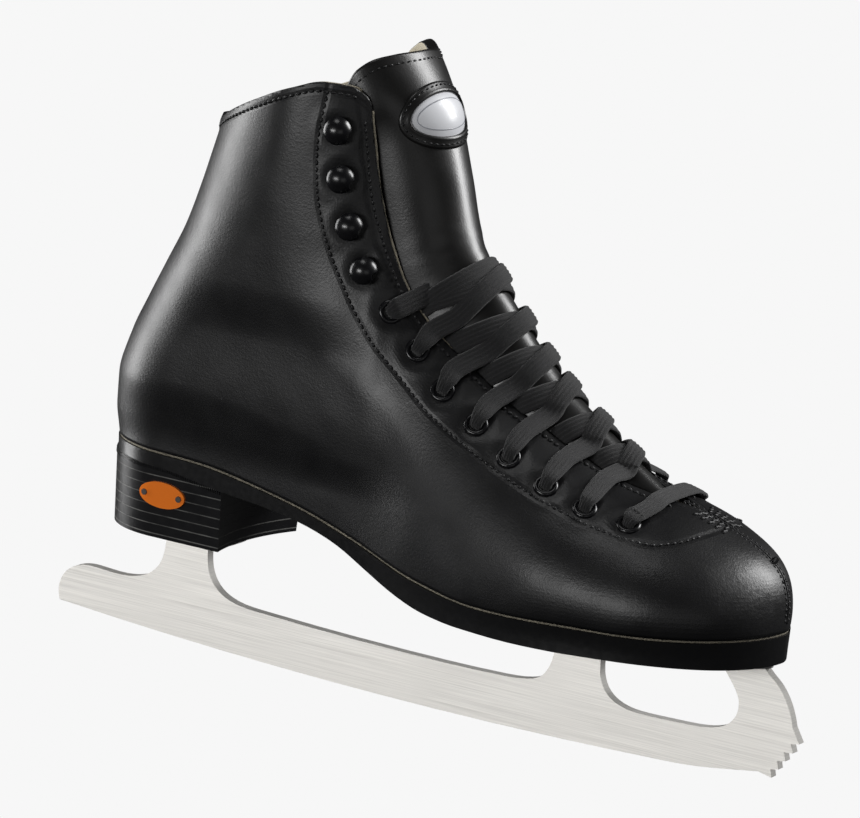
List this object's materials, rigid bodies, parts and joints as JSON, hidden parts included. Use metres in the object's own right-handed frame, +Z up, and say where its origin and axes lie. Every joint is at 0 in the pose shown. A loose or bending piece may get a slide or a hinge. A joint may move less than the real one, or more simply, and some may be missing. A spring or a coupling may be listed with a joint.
{
  "type": "figure skate",
  "caption": "Lace-up black leather figure skate boot for the right foot on a steel blade with a toothed toe, stacked heel and a padded tongue that folds forward.",
  "frame": {"origin": "on the ice under the middle of the overall length, in the blade's middle plane", "axes": "+X towards the toe along the blade, +Y towards the inner side of the foot, +Z up"},
  "size_m": [0.3008, 0.0955, 0.234],
  "materials": {
    "upper_leather": "smooth satin black",
    "tongue_leather": "smooth satin black",
    "stiffener_board": "matt board",
    "foam_padding": "soft matt",
    "lining_cloth": "cream matt",
    "sole_black": "black semi-gloss edge",
    "seam_sheet": "raw beige edge",
    "heel_layers_black": "black painted stacked layers",
    "spring_steel": "plain",
    "blade_steel": "brushed stainless",
    "screw_steel": "plain",
    "black_enamel": "gloss black enamel",
    "lace_cord": "black woven, matt",
    "badge_white": "domed gloss white",
    "badge_orange": "gloss orange",
    "badge_pins_dark": "dark"
  },
  "bodies": {
    "boot": {"upper_lateral": "upper_leather", "upper_medial": "upper_leather", "backstay": "upper_leather", "tongue_lower": "tongue_leather", "facing_stay_lateral": "stiffener_board", "facing_stay_medial": "stiffener_board", "heel_counter": "stiffener_board", "toe_puff": "stiffener_board", "insole_board": "stiffener_board", "ankle_padding_lateral": "foam_padding", "ankle_padding_medial": "foam_padding", "footbed": "foam_padding", "lining_lateral": "lining_cloth", "lining_medial": "lining_cloth", "outsole": "sole_black", "midsole": "seam_sheet", "heel_lifts": "heel_layers_black", "heel_top_piece": "heel_layers_black", "shank": "spring_steel", "blade": "blade_steel", "toe_plate": "blade_steel", "heel_plate": "blade_steel", "toe_plate_screws": "screw_steel", "heel_plate_screws": "screw_steel", "eyelets": "black_enamel", "lace_hooks": "black_enamel", "lace_strands_over": "lace_cord", "lace_strands_under": "lace_cord", "lace_toe_bar": "lace_cord", "heel_badge": "badge_orange", "heel_badge_pins": "badge_pins_dark"},
    "tongue_top": {"tongue_upper": "tongue_leather", "tongue_badge": "badge_white", "tongue_badge_ring": "tongue_leather"}
  },
  "joints": [
    {"name": "tongue_fold", "type": "hinge", "parent": "boot", "child": "tongue_top", "pos_m": [0.0044, 0, 0.1716], "axis": [0, 1, 0], "range_deg": [0, 40]}
  ]
}
